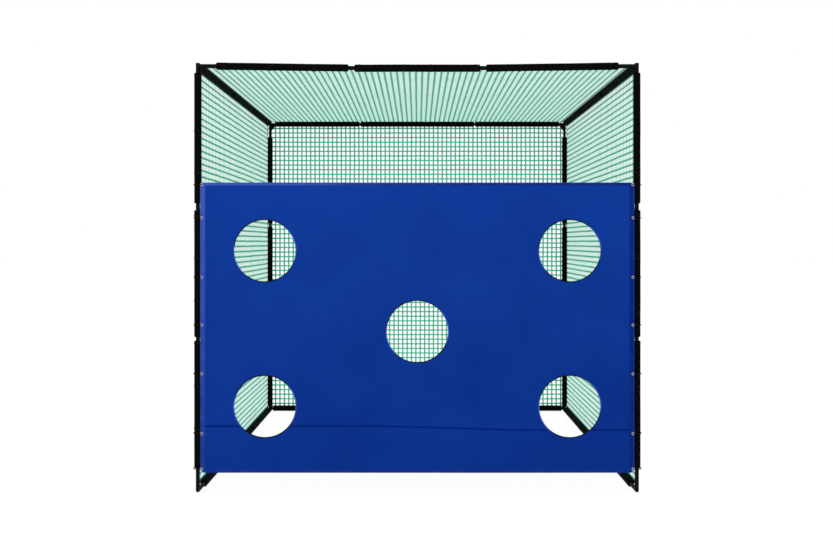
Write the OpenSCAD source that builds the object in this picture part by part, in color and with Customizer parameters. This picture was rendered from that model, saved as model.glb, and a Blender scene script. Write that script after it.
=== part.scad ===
// Golf chipping net: a free-standing square cage of foam-covered steel poles. A green net closes
// its back, sides and top, and a blue target sheet with five holes is tied across its front.
// The front faces -Y and the floor is Z = 0. The origin is on the floor, at the middle of the cage.

/* [Frame] */
// Width between the upright axes
frame_w = 3000; // [2400:50:3600]
// Depth between the upright axes
frame_d = 3000; // [2400:50:3600]
// Height from the bottom rail axis to the top bar axis
frame_h = 2898; // [2880:1:2920]
// How far the middle pole of the front top bar hangs below its corners
top_bar_sag = 13; // [0:1:14]

/* [Poles and connectors] */
// Outer diameter of a pole
pole_d = 28; // [24:1:29]
// Wall of a pole
pole_wall = 1.2; // [1:0.1:1.5]
// Radial slack between a swaged spigot and the pole that it plugs into
spigot_slack = 0.5; // [0.5:0.1:0.8]
// Length of a swaged spigot
spigot_len = 60; // [40:5:80]
// Gap between the ends of two poles that meet
pole_gap = 0.6; // [0.6:0.1:1]
// Connector leg, from the corner to the first pole
leg = 160; // [150:5:180]
// Connector leg that points down from a top corner
top_leg = 128; // [120:1:137]
// How far a top corner's post stands above the bar axis
post_rise = 21; // [16:1:23]
// How far a top corner's gusset plates reach along the bars
top_gusset = 56; // [40:1:56]
// How far the front ones reach down the upright
front_gusset_down = 45; // [30:1:45]
// How far the rear ones reach down the upright
rear_gusset_down = 68; // [40:1:100]
// How far a bottom corner's gusset plates reach both ways
bottom_gusset = 30; // [24:1:30]
// Thickness of a gusset plate
gusset_t = 4; // [3:1:6]

/* [Foam sleeves] */
// Outer diameter of a foam sleeve
sleeve_d = 50; // [40:1:50]
// Bore of a foam sleeve
sleeve_bore = 30; // [30:0.5:31]
// How far the foam is squashed flat where it stands on the floor
floor_flat = 1.5; // [1:0.5:3]
// Ends of the three sleeves along the front top bar
front_top_cuts = [128, 1027, 1072, 1928, 1973, 2872]; // [40:1:2960]
// Ends of the three sleeves along the rear top bar
rear_top_cuts = [58, 910, 922, 2078, 2090, 2942]; // [40:1:2960]
// Ends of the three sleeves along the rear bottom bar
rear_bottom_cuts = [32, 985, 1030, 1970, 2015, 2968]; // [32:1:2968]
// Ends of the three sleeves up a front upright
front_upright_cuts = [154, 1022, 1049, 1914, 1961, 2851]; // [40:1:2852]
// Ends of the three sleeves up a rear upright
rear_upright_cuts = [32, 915, 945, 1855, 1885, 2762]; // [32:1:2770]
// Ends of the three sleeves along a top side rail, from the front
top_rail_cuts = [70, 1080, 1110, 1975, 2010, 2942]; // [40:1:2960]
// Ends of the three sleeves along a bottom side rail, from the front
bottom_rail_cuts = [170, 1010, 1055, 1940, 1985, 2968]; // [32:1:2968]

/* [Net] */
// Meshes along each side of a net panel
meshes = 10; // [6:1:10]
// Width of a net strand
strand_w = 6; // [4:1:8]
// Thickness of a net strand
strand_t = 4; // [3:1:4]
// Diameter of a border or seam rope
rope_d = 6; // [5:1:8]
// Clear space between the sleeves and the net
net_clear = 1; // [1:0.5:3]
// How far behind the front uprights' axis the net's front rope runs
front_rope_set = 26; // [25:1:30]
// Height of the net's bottom rope above the bottom rail axis
bottom_rope_rise = 14; // [14:1:40]
// Width of a strap
strap_w = 8; // [6:1:10]
// Thickness of a strap
strap_t = 1.5; // [1:0.5:2]

/* [Target sheet] */
// Width of the sheet
sheet_w = 2956; // [2956:1:2972]
// Height of the sheet
sheet_h = 1975; // [1973:1:2050]
// Height of the sheet's bottom edge above the floor
sheet_z = 150; // [100:1:200]
// Thickness of the sheet
sheet_t = 2; // [1.5:0.5:2.5]
// Clear space between the sheet and the sleeves behind it
sheet_clear = 0.7; // [0.5:0.1:1]
// Diameter of a target hole
hole_d = 416; // [380:2:440]
// Sideways distance from the middle hole to the outer ones
hole_dx = 1037; // [950:1:1150]
// Height of the lower holes above the floor
low_hole_z = 601; // [500:1:620]
// Height of the upper holes above the floor
high_hole_z = 1661; // [1640:1:1760]
// Height of the middle hole above the floor
mid_hole_z = 1111; // [1050:1:1180]
// Width of the side hems
side_hem = 34; // [30:1:40]
// Width of the top and bottom hems
edge_hem = 20; // [15:1:30]
// Thickness of the hems and of the tape round the holes
hem_t = 1.5; // [1:0.5:2]
// Width of the tape round each hole
tape_w = 8; // [6:1:12]

/* [Eyelets and ties] */
// Heights of the eyelets above the sheet's bottom edge
eyelet_rise = [25, 266, 673, 1005, 1330, 1735, 1961]; // [12:1:1963]
// Distance from the upright's axis to an eyelet, towards the middle
eyelet_in = 32; // [30:0.5:33]
// Outer diameter of an eyelet
eyelet_d = 20; // [18:1:24]
// Clear hole of an eyelet
eyelet_hole = 10; // [8:0.5:11]
// Thickness of an eyelet's flange
eyelet_t = 1; // [0.8:0.1:1]
// Diameter of the elastic tie cord
tie_d = 6; // [3:0.5:7]

/* [Hidden] */
RUN_NAMES = [
    "front_top", "rear_top", "rear_bottom",
    "upright_front_left", "upright_front_right", "upright_rear_left", "upright_rear_right",
    "rail_top_left", "rail_top_right", "rail_bottom_left", "rail_bottom_right"
];
RUNS = [0 : len(RUN_NAMES) - 1];
$fn = 48;

hw = frame_w / 2;
hd = frame_d / 2;
pole_r = pole_d / 2;
bore_r = pole_r - pole_wall;
spigot_r = bore_r - spigot_slack;
spigot_bore_r = spigot_r - pole_wall;
neck = 8; // length of the swaged neck inside a pole's end
sleeve_r = sleeve_d / 2;
rail_z = sleeve_r - floor_flat;
top_z = rail_z + frame_h;
rope_r = rope_d / 2;
net_out = sleeve_r + net_clear + strand_t / 2;
net_x = hw + net_out;
net_y = hd + net_out;
net_z = top_z + net_out;
front_rope_y = -hd + front_rope_set;
bottom_rope_z = rail_z + bottom_rope_rise;
sheet_back_y = -hd - sleeve_r - sheet_clear;
sheet_front_y = sheet_back_y - sheet_t;
hem_front_y = sheet_front_y - hem_t;
eyelet_x = hw - eyelet_in;
eyelet_barrel_r = eyelet_hole / 2 + 1;
tie_r = tie_d / 2;
tie_gap = 0.6; // clear space between an eyelet and the cord that crosses it
foam_gap = 0.45; // clear space between the foam and the cord that goes round it
tie_loop_r = sleeve_r + foam_gap + tie_r;
tie_front = hem_front_y + hd - eyelet_t - tie_gap - tie_r;
eyelet_bend = 3.5; // radius at which the cord turns into the eyelet
strap_gap = 0.8; // clear space inside a strap
cut = 1; // overshoot of a cutting tool

foam = "#151515";
steel = "#0b0b0b";
green = "#2f9a74";
blue = "#0d3894";
blue_hem = "#274bb0";
silver = "#c9c9cf";

// A run of poles is [start corner, axis, cuts]. Axis 0, 1 or 2 is X, Y or Z.
function run_axis(i) = i < 3 ? 0 : i < 7 ? 2 : 1;
function run_length(i) = [frame_w, frame_d, frame_h][run_axis(i)];
function run_start(i) =
    i == 0 ? [-hw, -hd, top_z] :
    i == 1 ? [-hw, hd, top_z] :
    i == 2 ? [-hw, hd, rail_z] :
    i < 7 ? [i % 2 == 1 ? -hw : hw, i < 5 ? -hd : hd, rail_z] :
    [i % 2 == 1 ? -hw : hw, -hd, i < 9 ? top_z : rail_z];
function run_cuts(i) =
    i == 0 ? front_top_cuts :
    i == 1 ? rear_top_cuts :
    i == 2 ? rear_bottom_cuts :
    i < 5 ? front_upright_cuts :
    i < 7 ? rear_upright_cuts :
    i < 9 ? top_rail_cuts : bottom_rail_cuts;
function run_sag(i) = i == 0 ? top_bar_sag : 0;
function run_on_floor(i) = i == 2 || i > 8;

// Where pole k starts, and the line that it lies on: it kinks in the middle of each spigot.
function end_leg(i) = run_axis(i) == 2 ? top_leg : leg;
function pole_length(i) = (run_length(i) - leg - end_leg(i)) / 3;
function pole_start(i, k) = leg + k * pole_length(i);
function kink(i, k) =
    k < 3 ? pole_start(i, k) + spigot_len / 2 : run_length(i) - end_leg(i) - spigot_len / 2;
function kink_drop(i, k) = k == 1 || k == 2 ? run_sag(i) : 0;
function slope(i, k) = (kink_drop(i, k + 1) - kink_drop(i, k)) / (kink(i, k + 1) - kink(i, k));
function drop_at(i, k, s) = kink_drop(i, k) + slope(i, k) * (s - kink(i, k));

// Children drawn along +Z, their own +X downwards, are set at distance s on pole k of run i.
module along_run(i, k, s) {
    turn = [[0, 90, 0], [-90, 0, 0], [0, 0, 0]][run_axis(i)];
    translate(run_start(i))
        rotate(turn)
            translate([drop_at(i, k, s), 0, s])
                rotate([0, atan(slope(i, k)), 0])
                    children();
}

// ---- poles ----

module pole(length, swaged) {
    difference() {
        union() {
            cylinder(r = pole_r, h = length);
            if (swaged)
                cylinder(r = spigot_r, h = length + spigot_len);
        }
        translate([0, 0, -cut])
            cylinder(r = bore_r, h = swaged ? length - neck + cut : length + 2 * cut);
        if (swaged)
            cylinder(r = spigot_bore_r, h = length + spigot_len + cut);
    }
}

module poles(i) {
    color(steel)
        for (k = [0 : 2])
            along_run(i, k, pole_start(i, k))
                pole(pole_length(i) - pole_gap, k < 2);
}

// ---- connectors ----

module leg_outer(length) {
    cylinder(r = pole_r, h = length - pole_gap);
    cylinder(r = spigot_r, h = length + spigot_len);
}

module leg_bore(length) {
    translate([0, 0, pole_r + pole_wall])
        cylinder(r = spigot_bore_r, h = length + spigot_len);
}

// The plate fills the corner between a leg along +X and one along +Y.
module gusset(along, down) {
    in_tube = pole_r - 1;
    translate([0, 0, -gusset_t / 2])
        linear_extrude(gusset_t)
            polygon([[0, 0], [along, 0], [along, in_tube], [in_tube, down], [0, down]]);
}

// A three-way corner with its legs along +X, +Y and +Z.
module three_way(z_leg, along, down, rise) {
    difference() {
        union() {
            rotate([0, 90, 0]) leg_outer(leg);
            rotate([-90, 0, 0]) leg_outer(leg);
            leg_outer(z_leg);
            translate([0, 0, -rise]) cylinder(r = pole_r, h = rise);
            rotate([90, 0, 0]) gusset(along, down);
            rotate([90, 0, 90]) gusset(along, down);
        }
        rotate([0, 90, 0]) leg_bore(leg);
        rotate([-90, 0, 0]) leg_bore(leg);
        leg_bore(z_leg);
    }
}

// A two-way elbow with its legs along +Y and +Z and a rounded toe.
module elbow() {
    difference() {
        union() {
            rotate([-90, 0, 0]) leg_outer(leg);
            leg_outer(leg);
            sphere(r = pole_r);
        }
        rotate([-90, 0, 0]) leg_bore(leg);
        leg_bore(leg);
    }
}

// side is -1 on the left and 1 on the right, front_back is -1 in front and 1 behind.
module top_corner(side, front_back) {
    down = front_back > 0 ? rear_gusset_down : front_gusset_down;
    color(steel)
        translate([side * hw, front_back * hd, top_z])
            mirror([side > 0 ? 1 : 0, 0, 0])
                mirror([0, front_back > 0 ? 1 : 0, 0])
                    mirror([0, 0, 1])
                        three_way(top_leg, top_gusset, down, post_rise);
}

module bottom_corner(side) {
    color(steel)
        translate([side * hw, hd, rail_z])
            mirror([side > 0 ? 1 : 0, 0, 0])
                mirror([0, 1, 0])
                    three_way(leg, bottom_gusset, bottom_gusset, pole_r);
}

module front_elbow(side) {
    color(steel)
        translate([side * hw, -hd, rail_z])
            elbow();
}

// ---- foam sleeves ----

module sleeve(i, k) {
    from = run_cuts(i)[2 * k];
    to = run_cuts(i)[2 * k + 1];
    difference() {
        along_run(i, k, from)
            difference() {
                cylinder(r = sleeve_r, h = to - from);
                translate([0, 0, -cut])
                    cylinder(r = sleeve_bore / 2, h = to - from + 2 * cut);
            }
        if (run_on_floor(i))
            translate([-frame_w, -frame_d, -sleeve_d])
                cube([2 * frame_w, 2 * frame_d, sleeve_d]);
    }
}

module end_sleeves(i) {
    color(foam) {
        sleeve(i, 0);
        sleeve(i, 2);
    }
}

module middle_sleeve(i) {
    color(foam) sleeve(i, 1);
}

// ---- net ----

// Strands of a flat panel in the XY plane, from [0, 0] to [w, h]. The ropes close its edges.
module strands(w, h) {
    color(green)
        translate([0, 0, -strand_t / 2])
            linear_extrude(strand_t)
                union() {
                    for (n = [1 : meshes - 1])
                        translate([n * w / meshes - strand_w / 2, 0]) square([strand_w, h]);
                    for (n = [1 : meshes - 1])
                        translate([0, n * h / meshes - strand_w / 2]) square([w, strand_w]);
                }
}

side_net_w = net_y - rope_r - (front_rope_y + rope_r);
wall_net_h = net_z - rope_r - (bottom_rope_z + rope_r);
back_net_w = 2 * (net_x - rope_r);

module net_back() {
    translate([-back_net_w / 2, net_y, bottom_rope_z + rope_r])
        rotate([90, 0, 0])
            strands(back_net_w, wall_net_h);
}

module net_side(side) {
    translate([side * net_x, front_rope_y + rope_r, bottom_rope_z + rope_r])
        rotate([90, 0, 90])
            strands(side_net_w, wall_net_h);
}

module net_top() {
    translate([-back_net_w / 2, front_rope_y + rope_r, net_z])
        strands(back_net_w, side_net_w);
}

// A rope of radius rope_r from point a along axis 0, 1 or 2.
module rope(a, axis, length) {
    color(green)
        translate(a)
            rotate([[0, 90, 0], [-90, 0, 0], [0, 0, 0]][axis])
                cylinder(r = rope_r, h = length, $fn = 24);
}

module net_front_ropes() {
    for (side = [-1, 1])
        rope([side * net_x, front_rope_y, bottom_rope_z], 2, net_z - rope_r - bottom_rope_z);
    rope([-net_x - rope_r, front_rope_y, net_z], 0, 2 * (net_x + rope_r));
}

module net_bottom_ropes() {
    for (side = [-1, 1])
        rope([side * net_x, front_rope_y + rope_r, bottom_rope_z], 1, side_net_w);
    rope([-net_x - rope_r, net_y, bottom_rope_z], 0, 2 * (net_x + rope_r));
}

module net_seam_ropes() {
    for (side = [-1, 1]) {
        rope([side * net_x, front_rope_y + rope_r, net_z], 1, side_net_w);
        rope([side * net_x, net_y, bottom_rope_z + rope_r], 2, wall_net_h);
    }
    rope([-net_x - rope_r, net_y, net_z], 0, 2 * (net_x + rope_r));
}

// A strap is a ring that holds a round bar at [0, 0] and the rope at [u, v].
module strap(bar_r, u, v) {
    apart = norm([u, v]);
    inner = (bar_r + apart + rope_r) / 2 + strap_gap;
    shift = (apart + rope_r - bar_r) / 2;
    color(foam)
        translate([u / apart * shift, v / apart * shift, -strap_w / 2])
            difference() {
                cylinder(r = inner + strap_t, h = strap_w);
                translate([0, 0, -cut]) cylinder(r = inner, h = strap_w + 2 * cut);
            }
}

// Shares of a mesh at which the straps stand, so that none falls in a gap between two sleeves.
strap_share_up = 0.4;
strap_share_across = 0.3;
front_strap_z = [
    for (n = [0 : meshes - 1]) bottom_rope_z + rope_r + (n + strap_share_up) * wall_net_h / meshes
];
front_strap_x = [
    for (side = [-1, 1], n = [0 : meshes / 2 - 1]) side * (n + strap_share_across) * back_net_w / meshes
];

// One strap stands in each mesh up both front uprights and along the front top bar, wherever there
// is foam behind it.
module net_straps_front() {
    for (side = [-1, 1], z = front_strap_z)
        if (z > rail_z + front_upright_cuts[0] + strap_w && z < top_z - leg)
            translate([side * hw, -hd, z])
                strap(sleeve_r, side * net_out, front_rope_set);
    for (x = front_strap_x) if (abs(x) < hw - leg) {
        k = x < -frame_w / 6 ? 0 : x > frame_w / 6 ? 2 : 1;
        drop = drop_at(0, k, x + hw);
        translate([x, -hd, top_z - drop])
            rotate([90, 0, 90])
                strap(sleeve_r, front_rope_set, net_out + drop);
    }
}

// The bottom straps go round bare pole: at the front legs, and beside the end sleeves in the gaps.
module net_straps_bottom() {
    near = strap_w / 2 + 2;
    rail = bottom_rail_cuts;
    bar = rear_bottom_cuts;
    for (side = [-1, 1], y = [rail[0] - near, rail[1] + near, rail[4] - near])
        translate([side * hw, y - hd, rail_z])
            rotate([90, 0, 0])
                strap(pole_r, side * net_out, bottom_rope_rise);
    for (x = [bar[1] + near, bar[4] - near])
        translate([x - hw, hd, rail_z])
            rotate([90, 0, 90])
                strap(pole_r, net_out, bottom_rope_rise);
}

// ---- target sheet ----

// Children drawn in the XY plane stand up in the XZ plane, t thick towards the front from y.
module stand_up(y, t) {
    translate([0, y, 0])
        rotate([90, 0, 0])
            linear_extrude(t)
                children();
}

hole_centres = concat([[0, mid_hole_z]],
    [for (side = [-1, 1], z = [low_hole_z, high_hole_z]) [side * hole_dx, z]]);
eyelet_centres = [for (side = [-1, 1], z = eyelet_rise) [side * eyelet_x, sheet_z + z]];

module eyelet_cuts() {
    for (c = eyelet_centres)
        translate(c) circle(r = eyelet_barrel_r);
}

module target_sheet() {
    color(blue)
        stand_up(sheet_back_y, sheet_t)
            difference() {
                translate([-sheet_w / 2, sheet_z]) square([sheet_w, sheet_h]);
                for (c = hole_centres)
                    translate(c) circle(d = hole_d, $fn = 96);
                eyelet_cuts();
            }
}

module hem_side(side) {
    color(blue_hem)
        stand_up(sheet_front_y, hem_t)
            difference() {
                translate([side > 0 ? sheet_w / 2 - side_hem : -sheet_w / 2, sheet_z])
                    square([side_hem, sheet_h]);
                eyelet_cuts();
            }
}

module hem_edge(z) {
    color(blue_hem)
        stand_up(sheet_front_y, hem_t)
            translate([side_hem - sheet_w / 2, z])
                square([sheet_w - 2 * side_hem, edge_hem]);
}

module hole_tapes() {
    color(blue_hem)
        stand_up(sheet_front_y, hem_t)
            for (c = hole_centres)
                translate(c)
                    difference() {
                        circle(d = hole_d + 2 * tape_w, $fn = 96);
                        circle(d = hole_d, $fn = 96);
                    }
}

// An eyelet's barrel goes through the sheet and the hem, between a front and a back flange.
module eyelet() {
    depth = sheet_t + hem_t;
    rotate([90, 0, 0])
        difference() {
            union() {
                cylinder(r = eyelet_barrel_r, h = depth);
                translate([0, 0, depth]) cylinder(d = eyelet_d, h = eyelet_t);
                translate([0, 0, -eyelet_t]) cylinder(d = eyelet_d, h = eyelet_t);
            }
            translate([0, 0, -eyelet_t - cut])
                cylinder(d = eyelet_hole, h = depth + 2 * (eyelet_t + cut));
        }
}

module eyelets() {
    color(silver)
        for (c = eyelet_centres)
            translate([c[0], sheet_back_y, c[1]]) eyelet();
}

module cord_run(a, b) {
    d = b - a;
    translate(a)
        rotate([0, atan2(norm([d[0], d[1]]), d[2]), atan2(d[1], d[0])])
            cylinder(r = tie_r, h = norm(d), $fn = 16);
}

module cord_arc(centre, radius, from, to) {
    translate(centre)
        rotate([0, 0, from])
            rotate_extrude(angle = to - from, $fn = 64)
                translate([radius, 0]) circle(r = tie_r, $fn = 16);
}

// A tie comes out of the eyelet, crosses in front of the sheet's edge, hugs the foam round the
// outside of the upright and comes back behind the sheet. Each arc meets the next run squarely.
module tie() {
    r = tie_loop_r;
    front_r = -tie_front;
    back_r = (eyelet_in + r) / 2;
    into = [eyelet_in - eyelet_bend, tie_front + eyelet_bend, 0];
    cord_arc([back_r - r, 0, 0], back_r, 0, 180);
    cord_arc([front_r - r, 0, 0], front_r, 180, 270);
    cord_run([front_r - r, tie_front, 0], [into.x, tie_front, 0]);
    cord_arc(into, eyelet_bend, -90, 0);
    cord_run([eyelet_in, into.y, 0], [eyelet_in, 0, 0]);
}

module sheet_ties() {
    color(foam)
        for (c = eyelet_centres)
            translate([c[0] > 0 ? hw : -hw, -hd, c[1]])
                mirror([c[0] > 0 ? 1 : 0, 0, 0])
                    tie();
}

// ---- the parts ----

top_corner(-1, -1);  // corner_top_front_left
top_corner(1, -1);  // corner_top_front_right
top_corner(-1, 1);  // corner_top_rear_left
top_corner(1, 1);  // corner_top_rear_right
bottom_corner(-1);  // corner_bottom_rear_left
bottom_corner(1);  // corner_bottom_rear_right
front_elbow(-1);  // elbow_front_left
front_elbow(1);  // elbow_front_right
for (i = RUNS) {
    poles(i);
    end_sleeves(i);
    middle_sleeve(i);
}
net_back();
net_side(-1);  // net_left
net_side(1);  // net_right
net_top();
net_front_ropes();
net_bottom_ropes();
net_seam_ropes();
net_straps_front();
net_straps_bottom();
target_sheet();
hem_side(-1);  // hem_left
hem_side(1);  // hem_right
hem_edge(sheet_z + sheet_h - edge_hem);  // hem_top
hem_edge(sheet_z);  // hem_bottom
hole_tapes();
eyelets();
sheet_ties();
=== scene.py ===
"""Golf chipping net: a foam-padded steel cage with a green net and a blue target sheet.

Lengths are millimetres until a piece is made, when they become metres. +Z is up and -Y is front.
"""
import math

import bmesh
import bpy
from mathutils import Matrix, Vector, noise


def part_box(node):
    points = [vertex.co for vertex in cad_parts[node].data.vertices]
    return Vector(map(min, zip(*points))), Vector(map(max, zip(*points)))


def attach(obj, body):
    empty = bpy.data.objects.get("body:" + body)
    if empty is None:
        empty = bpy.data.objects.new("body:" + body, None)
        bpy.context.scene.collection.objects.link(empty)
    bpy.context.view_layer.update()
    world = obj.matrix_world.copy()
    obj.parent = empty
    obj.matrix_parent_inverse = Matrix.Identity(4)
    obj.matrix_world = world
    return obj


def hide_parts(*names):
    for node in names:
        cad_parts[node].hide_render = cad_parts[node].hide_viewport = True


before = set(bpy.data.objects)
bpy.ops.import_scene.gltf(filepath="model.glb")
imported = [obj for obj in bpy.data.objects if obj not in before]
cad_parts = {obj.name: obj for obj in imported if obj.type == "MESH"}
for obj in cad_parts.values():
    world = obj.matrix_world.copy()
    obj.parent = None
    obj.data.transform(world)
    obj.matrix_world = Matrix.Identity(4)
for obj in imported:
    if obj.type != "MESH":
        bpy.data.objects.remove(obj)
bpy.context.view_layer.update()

MM = 0.001
SAME_POINT = 0.01
X, Y, Z = Vector((1, 0, 0)), Vector((0, 1, 0)), Vector((0, 0, 1))
SIDES = {"left": -1, "right": 1}
RUNS = [
    "front_top", "rear_top", "rear_bottom",
    "upright_front_left", "upright_front_right", "upright_rear_left", "upright_rear_right",
    "rail_top_left", "rail_top_right", "rail_bottom_left", "rail_bottom_right",
]


# ---- places read from the frame ----

def box_mm(node):
    """Lowest and highest corner of a CAD node."""
    low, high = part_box(node)
    return low / MM, high / MM


def solids_mm(node):
    """The box of each separate solid of a CAD node, in order along X, Y and Z."""
    bm = bmesh.new()
    bm.from_mesh(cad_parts[node].data)
    bmesh.ops.remove_doubles(bm, verts=bm.verts, dist=SAME_POINT * MM)
    waiting = set(bm.verts)
    boxes = []
    while waiting:
        found = [waiting.pop()]
        for vert in found:
            for edge in vert.link_edges:
                other = edge.other_vert(vert)
                if other in waiting:
                    waiting.remove(other)
                    found.append(other)
        low = Vector(min(v.co[i] for v in found) for i in range(3)) / MM
        high = Vector(max(v.co[i] for v in found) for i in range(3)) / MM
        boxes.append((low, high))
    bm.free()
    return sorted(boxes, key=lambda box: [round(n) for n in box[0]])


upright_low, upright_high = box_mm("middle_sleeve_upright_front_right")
SLEEVE_R = (upright_high.x - upright_low.x) / 2
HALF_W = (upright_high.x + upright_low.x) / 2
HALF_D = -(upright_high.y + upright_low.y) / 2
RAIL_Z = box_mm("middle_sleeve_rail_bottom_left")[1].z - SLEEVE_R
TOP_Z = box_mm("middle_sleeve_rail_top_left")[1].z - SLEEVE_R
POLE_R = TOP_Z - box_mm("poles_rail_top_left")[0].z
sag_low, sag_high = box_mm("middle_sleeve_front_top")
BAR_SAG = TOP_Z - (sag_low.z + sag_high.z) / 2


def smooth(t):
    """0 up to t = 0, 1 from t = 1, with an eased rise between."""
    t = min(1.0, max(0.0, t))
    return t * t * (3 - 2 * t)


# ---- camera ----

EYE = Vector((0, -7597, 1717.5))
IMAGE_W, IMAGE_H = 833, 555
FOCAL_PX = 892
VANISHING_PX = Vector((417.35, 242.4))
SENSOR_W = 36

camera_data = bpy.data.cameras.new("eye_level_camera")
camera_data.sensor_width = SENSOR_W
camera_data.lens = FOCAL_PX * SENSOR_W / IMAGE_W
camera_data.shift_x = (IMAGE_W / 2 - VANISHING_PX.x) / IMAGE_W
camera_data.shift_y = (VANISHING_PX.y - IMAGE_H / 2) / IMAGE_W
camera = bpy.data.objects.new("eye_level_camera", camera_data)
camera.location = EYE * MM
camera.rotation_euler = (math.radians(90), 0, 0)
bpy.context.scene.collection.objects.link(camera)
bpy.context.scene.camera = camera
bpy.context.scene.view_settings.view_transform = "Standard"


# ---- materials ----

# the sheet's blue, and the lighter blue that painted light lifts it to towards the top
CLOTH_BLUE, LIT_CLOTH_BLUE = "#022b80", "#083794"
# the hem's blue, and the lighter blue of its painted light at the upper left
HEM_BLUE, LIT_HEM_BLUE = "#03287d", "#3853ac"
# the painted shade of creases and the seam line, and a paler patch of it
CREASE_SHADE_BLUE, PALER_CREASE_SHADE = "#011c68", "#02257a"
# the hole tape's navy, and the pale blue of its painted highlights
TAPE_NAVY, HIGHLIGHT_TAPE = "#020530", "#3f5fb8"

# A Mix node's sockets when it mixes colours, whose names it gives to other sockets as well: what it
# mixes by, the colours at 0 and at 1, and the result.
MIX_BY, AT_0, AT_1, MIXED = 0, 6, 7, 2


def linear(hex_colour):
    """An sRGB hex colour as opaque linear RGBA."""
    parts = [int(hex_colour[i:i + 2], 16) / 255 for i in (1, 3, 5)]
    return [p / 12.92 if p <= 0.04045 else ((p + 0.055) / 1.055) ** 2.4 for p in parts] + [1.0]


def per_mm(size):
    """The texture scale at which one feature of a noise or cell pattern is size millimetres."""
    return 1 / (size * MM)


def bands_mm(period):
    """The scale of a wave texture whose bands repeat every period millimetres."""
    return 2 * math.pi / (20 * period * MM)


def fill(tree, node, inputs):
    """Sets or links the inputs of a shader node."""
    for key, value in inputs.items():
        if isinstance(value, bpy.types.NodeSocket):
            tree.links.new(value, node.inputs[key])
        else:
            node.inputs[key].default_value = value


def add(tree, kind, inputs, **settings):
    """Adds a shader node with its settings and inputs."""
    made = tree.nodes.new("ShaderNode" + kind)
    for key, value in settings.items():
        setattr(made, key, value)
    fill(tree, made, inputs)
    return made


def surface(name, **constants):
    """A new material: its node tree, its shader with these constants, and Object coordinates."""
    made = bpy.data.materials.new(name)
    made.use_nodes = True
    tree = made.node_tree
    shader = tree.nodes["Principled BSDF"]
    for key, value in constants.items():
        shader.inputs[key.replace("_", " ")].default_value = value
    place = add(tree, "TexCoord", {}).outputs["Object"]
    return made, tree, shader, place


def closed_cell_foam():
    # Extruded rubber foam: a dead matt skin, dimpled by its cells and dented by handling.
    made, tree, shader, place = surface("closed_cell_foam", Specular_IOR_Level=0.03)
    dents = add(tree, "TexNoise", {"Vector": place, "Scale": per_mm(45), "Detail": 3})
    cells = add(tree, "TexVoronoi", {"Vector": place, "Scale": per_mm(3)})
    colour = add(tree, "Mix", {MIX_BY: dents.outputs["Fac"], AT_0: linear("#030303"),
                               AT_1: linear("#0a0a0a")}, data_type="RGBA").outputs[MIXED]
    rough = add(tree, "MapRange", {"Value": dents.outputs["Fac"], "To Min": 0.72, "To Max": 0.95})
    broad = add(tree, "Bump", {"Height": dents.outputs["Fac"], "Distance": 3 * MM, "Strength": 0.6})
    fine = add(tree, "Bump", {"Height": cells.outputs["Distance"], "Distance": 0.4 * MM,
                              "Strength": 0.5, "Normal": broad.outputs["Normal"]})
    fill(tree, shader, {"Base Color": colour, "Roughness": rough.outputs["Result"],
                        "Normal": fine.outputs["Normal"]})
    return made


def powder_coat():
    # Steel tube with a baked black powder coat: satin, with a faint orange peel and dusty patches.
    made, tree, shader, place = surface("black_powder_coat", Specular_IOR_Level=0.08)
    peel = add(tree, "TexNoise", {"Vector": place, "Scale": per_mm(4), "Detail": 2})
    dust = add(tree, "TexNoise", {"Vector": place, "Scale": per_mm(70), "Detail": 5})
    colour = add(tree, "Mix", {MIX_BY: dust.outputs["Fac"], AT_0: linear("#020202"),
                               AT_1: linear("#080809")}, data_type="RGBA").outputs[MIXED]
    rough = add(tree, "MapRange", {"Value": dust.outputs["Fac"], "To Min": 0.45, "To Max": 0.7})
    bump = add(tree, "Bump", {"Height": peel.outputs["Fac"], "Distance": 0.15 * MM,
                              "Strength": 0.5})
    fill(tree, shader, {"Base Color": colour, "Roughness": rough.outputs["Result"],
                        "Normal": bump.outputs["Normal"]})
    return made


def twine(name, dark, light, rough):
    # Twisted synthetic yarn, in the net, its ropes and binding, and the sewing: slightly waxy
    # fibres, lighter and darker along its length.
    made, tree, shader, place = surface(name, Roughness=rough, Specular_IOR_Level=0.04)
    patches = add(tree, "TexNoise", {"Vector": place, "Scale": per_mm(60), "Detail": 4})
    fibres = add(tree, "TexNoise", {"Vector": place, "Scale": per_mm(2), "Detail": 2})
    colour = add(tree, "Mix", {MIX_BY: patches.outputs["Fac"], AT_0: linear(dark),
                               AT_1: linear(light)}, data_type="RGBA").outputs[MIXED]
    bump = add(tree, "Bump", {"Height": fibres.outputs["Fac"], "Distance": 0.5 * MM,
                              "Strength": 0.6})
    fill(tree, shader, {"Base Color": colour, "Normal": bump.outputs["Normal"]})
    return made


def webbing():
    # Woven nylon strap with a fine cross rib.
    made, tree, shader, place = surface("nylon_webbing", Roughness=0.8, Specular_IOR_Level=0.05)
    rib = add(tree, "TexWave", {"Vector": place, "Scale": bands_mm(2)}, bands_direction="DIAGONAL")
    wear_and_highlight = add(tree, "TexNoise", {"Vector": place, "Scale": per_mm(20), "Detail": 3})
    colour = add(tree, "Mix", {MIX_BY: wear_and_highlight.outputs["Fac"], AT_0: linear("#070708"),
                               AT_1: linear("#151517")}, data_type="RGBA").outputs[MIXED]
    bump = add(tree, "Bump", {"Height": rib.outputs["Fac"], "Distance": 0.3 * MM, "Strength": 0.7})
    fill(tree, shader, {"Base Color": colour, "Normal": bump.outputs["Normal"]})
    return made


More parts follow.
